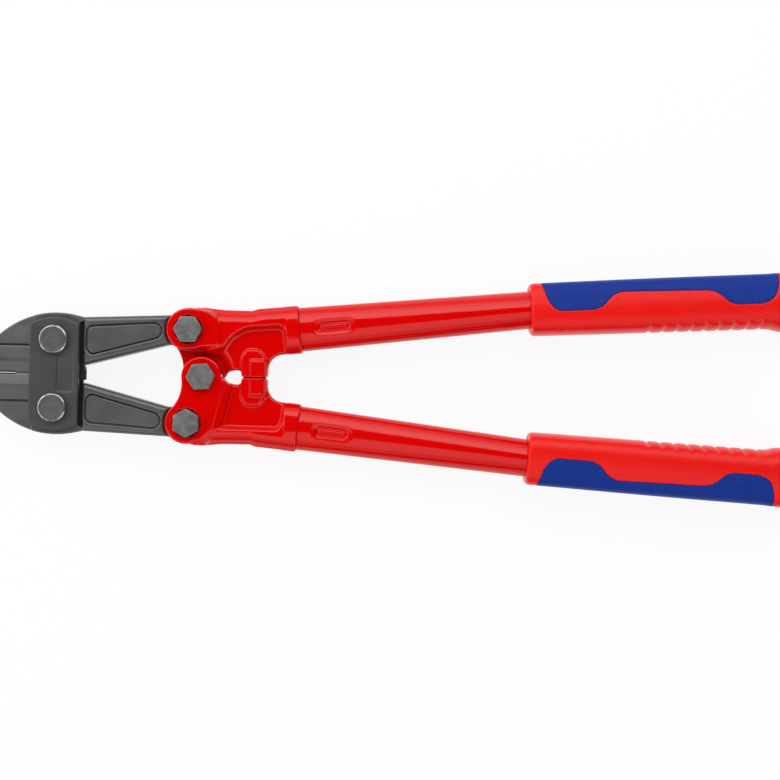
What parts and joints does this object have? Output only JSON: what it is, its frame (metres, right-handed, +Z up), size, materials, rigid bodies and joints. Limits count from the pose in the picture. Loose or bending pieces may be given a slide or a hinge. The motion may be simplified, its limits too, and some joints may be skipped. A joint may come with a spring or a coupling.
{
  "type": "bolt cutters",
  "caption": "Compound-lever bolt cutters: forged centre-cut jaws between link plates, eccentric pins, red tubular handles and two-part red and blue grips, closed.",
  "frame": {"origin": "centre of the bounding box in plan, on the surface that the closed tool lies on", "axes": "+X along the tool from the jaws to the grip ends, +Y across the handles, +Z up along the bolt axes towards the bolt heads"},
  "size_m": [0.46, 0.1322, 0.03],
  "materials": {
    "forged_steel": "dark phosphated forging",
    "link_bolt_steel": "dark steel with a bright machined edge",
    "bolt_steel": "grey zinc plate",
    "nylon": "nylon",
    "red_paint": "glossy red powder coat",
    "red_grip": "satin",
    "blue_grip": "fine grained soft grip"
  },
  "bodies": {
    "link_plates": {"front_link_plate": "forged_steel", "rear_link_plate": "forged_steel", "upper_link_bolt": "link_bolt_steel", "lower_link_bolt": "link_bolt_steel", "upper_link_nut": "bolt_steel", "lower_link_nut": "bolt_steel", "link_lock_rings": "nylon"},
    "upper_jaw": {"upper_blade": "forged_steel"},
    "lower_jaw": {"lower_blade": "forged_steel"},
    "upper_handle": {"upper_handle_head": "red_paint", "upper_tube": "red_paint", "upper_grip_shell": "red_grip", "upper_grip_inlay": "blue_grip", "upper_eccentric_bolt": "bolt_steel", "upper_eccentric_nut": "bolt_steel", "upper_lock_ring": "nylon"},
    "lower_handle": {"lower_handle_head": "red_paint", "lower_tube": "red_paint", "lower_grip_shell": "red_grip", "lower_grip_inlay": "blue_grip", "lower_eccentric_bolt": "bolt_steel", "lower_eccentric_nut": "bolt_steel", "lower_lock_rings": "nylon", "handle_pivot_bolt": "bolt_steel", "handle_pivot_washer": "bolt_steel", "handle_pivot_nut": "bolt_steel"}
  },
  "joints": [
    {"name": "upper_blade_hinge", "type": "hinge", "parent": "link_plates", "child": "upper_jaw", "pos_m": [-0.1845, 0.019, 0.015], "axis": [0, 0, 1], "range_deg": [-7.4, 0]},
    {"name": "lower_blade_hinge", "type": "hinge", "parent": "link_plates", "child": "lower_jaw", "pos_m": [-0.1845, -0.019, 0.015], "axis": [0, 0, 1], "range_deg": [0, 7.4]},
    {"name": "handle_opening", "type": "hinge", "parent": "upper_jaw", "child": "upper_handle", "pos_m": [-0.1101, 0.0262, 0.015], "axis": [0, 0, 1], "range_deg": [0, 45]},
    {"name": "lower_handle_hinge", "type": "hinge", "parent": "lower_jaw", "child": "lower_handle", "pos_m": [-0.1101, -0.0262, 0.015], "axis": [0, 0, 1], "range_deg": [-45, 0]}
  ],
  "couplings": [
    {"joint": "lower_handle_hinge", "follows": "handle_opening", "ratio": -1},
    {"joint": "upper_blade_hinge", "follows": "handle_opening", "ratio": -0.164},
    {"joint": "lower_blade_hinge", "follows": "handle_opening", "ratio": 0.164}
  ]
}
